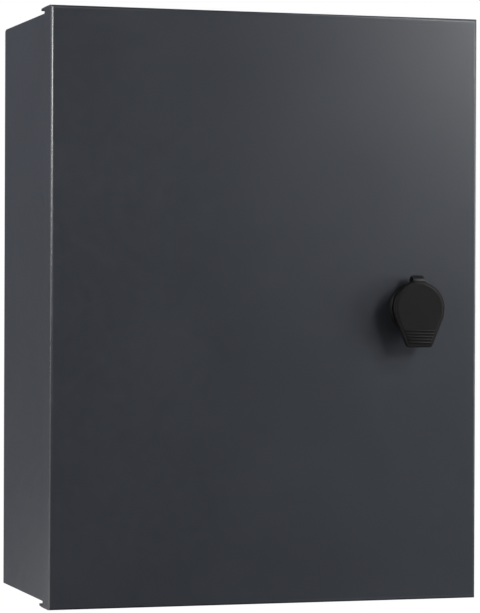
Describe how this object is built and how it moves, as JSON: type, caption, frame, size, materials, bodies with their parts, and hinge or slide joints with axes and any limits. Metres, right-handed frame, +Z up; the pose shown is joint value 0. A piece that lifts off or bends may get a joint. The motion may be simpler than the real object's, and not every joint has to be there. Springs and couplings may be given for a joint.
{
  "type": "wall mounted mailbox",
  "caption": "Flat-fronted sheet steel mailbox for a wall, with a full-front door hinged on the left, a cam lock under a flip weather cap, and an inlet lid on top.",
  "frame": {"origin": "centre of the back face, which lies against the wall", "axes": "+Z up, -Y out of the door's front, +X to the right as seen from the front, the lock side"},
  "size_m": [0.302, 0.173, 0.4],
  "materials": {
    "powder_coat": "fine-textured satin powder coat, anthracite grey",
    "plated_steel": "bright zinc plating",
    "lock_zinc": "nickel-plated die casting",
    "cap_plastic": "matt black moulded thermoplastic rubber",
    "rubber": "matt black rubber",
    "nylon": "natural white nylon"
  },
  "bodies": {
    "box": {"body_shell": "powder_coat", "bottom_tray": "powder_coat", "front_rail": "powder_coat", "anti_theft_baffle": "powder_coat", "side_gutter_left": "powder_coat", "side_gutter_right": "powder_coat", "lid_hinge_ear_left": "plated_steel", "lid_hinge_ear_right": "plated_steel", "lid_hinge_rod": "plated_steel", "rod_clip_left": "plated_steel", "rod_clip_right": "plated_steel", "lid_pad_left": "rubber", "lid_pad_right": "rubber", "hinge_bracket_top": "plated_steel", "hinge_bracket_bottom": "plated_steel", "hinge_pin_top": "plated_steel", "hinge_pin_bottom": "plated_steel", "hinge_clip_top": "plated_steel", "hinge_clip_bottom": "plated_steel", "hinge_washer_top": "nylon", "hinge_washer_bottom": "nylon", "strike_plate": "plated_steel", "strike_rivet_upper": "plated_steel", "strike_rivet_lower": "plated_steel", "door_bumper_upper": "rubber", "door_bumper_lower": "rubber"},
    "door": {"door_panel": "powder_coat", "cap_base": "cap_plastic", "cap_strap": "cap_plastic", "lock_housing": "lock_zinc", "lock_nut": "plated_steel"},
    "lock_rotor": {"lock_plug": "lock_zinc", "lock_cam": "plated_steel", "cam_washer": "plated_steel", "cam_screw": "plated_steel"},
    "weather_cap": {"lock_cap": "cap_plastic"},
    "lid": {"inlet_lid": "powder_coat"}
  },
  "joints": [
    {"name": "door_hinge", "type": "hinge", "parent": "box", "child": "door", "pos_m": [-0.1425, -0.131, 0], "axis": [0, 0, -1], "range_deg": [0, 105]},
    {"name": "lock_turn", "type": "hinge", "parent": "door", "child": "lock_rotor", "pos_m": [0.104, -0.158, 0], "axis": [0, -1, 0], "range_deg": [0, 90]},
    {"name": "cap_flip", "type": "hinge", "parent": "door", "child": "weather_cap", "pos_m": [0.104, -0.166, 0.0174], "axis": [-1, 0, 0], "range_deg": [0, 140], "deforming": ["cap_strap"]},
    {"name": "lid_hinge", "type": "hinge", "parent": "box", "child": "lid", "pos_m": [0, -0.007, 0.19], "axis": [-1, 0, 0], "range_deg": [0, 75]}
  ]
}
